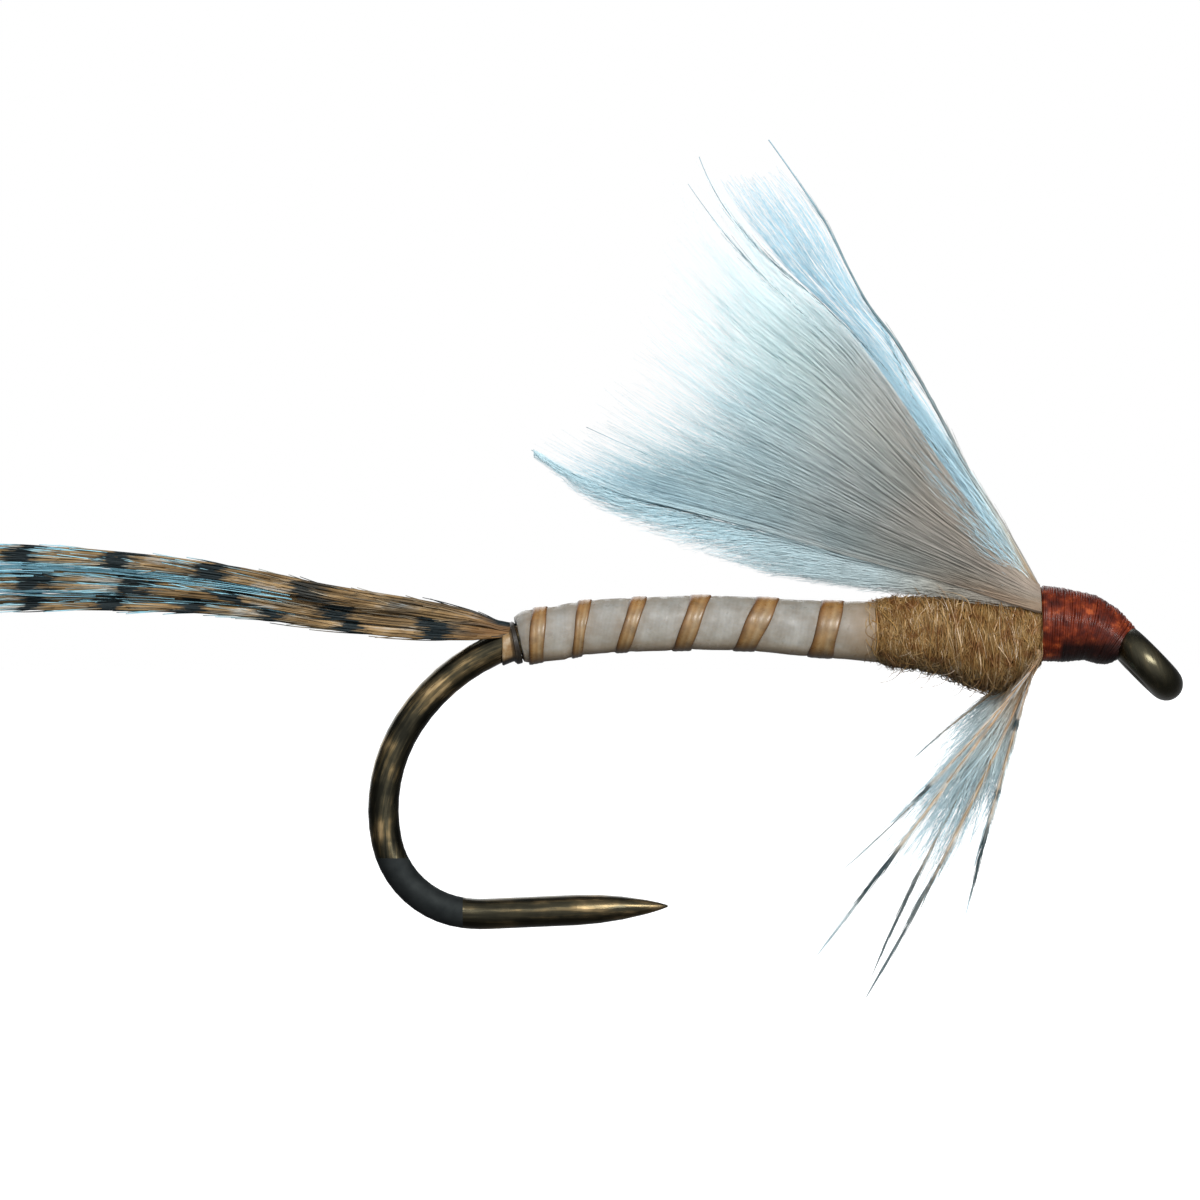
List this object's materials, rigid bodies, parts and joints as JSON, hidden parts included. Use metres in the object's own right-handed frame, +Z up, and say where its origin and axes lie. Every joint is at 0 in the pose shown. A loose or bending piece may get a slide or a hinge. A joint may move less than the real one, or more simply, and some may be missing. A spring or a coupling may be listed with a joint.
{
  "type": "dry fly",
  "caption": "Dry fly on a barbless hook with a down-turned eye: ribbed floss body, fur thorax, swept-back feather wing, throat hackle, barred fibre tail and thread head.",
  "frame": {"origin": "centre of the hook eye's ring", "axes": "+X forward out of the eye end along the shank, +Z up towards the wing, Y across; the hook lies in the XZ plane"},
  "size_m": [0.0266, 0.0032, 0.0179],
  "materials": {
    "bronzed_wire": "bronzed and lacquered high-carbon steel wire, semi-gloss",
    "tan_thread": "waxed tying thread",
    "rust_thread": "tying thread soaked in clear varnish, glossy",
    "white_floss": "flat floss under clear varnish, glossy",
    "tan_strip": "flat translucent strip under clear varnish, glossy",
    "fur_dubbing": "matt spun fur",
    "barred_fibre": "soft sheen, dark bars about 2 mm apart",
    "wing_plume": "soft matt down, white to pale grey",
    "hackle_fibre": "soft sheen, cream with dark patches",
    "down": "soft matt down"
  },
  "bodies": {
    "root": {"abdomen_floss": "white_floss", "hackle_down": "down", "hackle_fibre_01": "hackle_fibre", "hackle_fibre_02": "hackle_fibre", "hackle_fibre_03": "hackle_fibre", "hackle_fibre_04": "hackle_fibre", "hackle_fibre_05": "hackle_fibre", "hackle_fibre_06": "hackle_fibre", "hackle_fibre_07": "hackle_fibre", "hackle_fibre_08": "hackle_fibre", "head_thread": "rust_thread", "hook": "bronzed_wire", "rib_strip": "tan_strip", "tail_fibre_01": "barred_fibre", "tail_fibre_02": "barred_fibre", "tail_fibre_03": "barred_fibre", "tail_fibre_04": "barred_fibre", "tail_fibre_05": "barred_fibre", "tail_fibre_06": "barred_fibre", "tail_fibre_07": "barred_fibre", "tail_fibre_08": "barred_fibre", "tail_fibre_09": "barred_fibre", "tail_fibre_10": "barred_fibre", "tail_fibre_11": "barred_fibre", "tail_fibre_12": "barred_fibre", "tail_tie_turns": "tan_thread", "thorax_dubbing": "fur_dubbing", "thread_base": "tan_thread", "whip_finish": "rust_thread", "wing_feather_far": "wing_plume", "wing_feather_near": "wing_plume", "wing_fibre_01": "wing_plume", "wing_fibre_02": "wing_plume", "wing_fibre_03": "wing_plume", "wing_fibre_04": "wing_plume", "wing_fibre_05": "wing_plume", "wing_fibre_06": "wing_plume"}
  },
  "joints": []
}
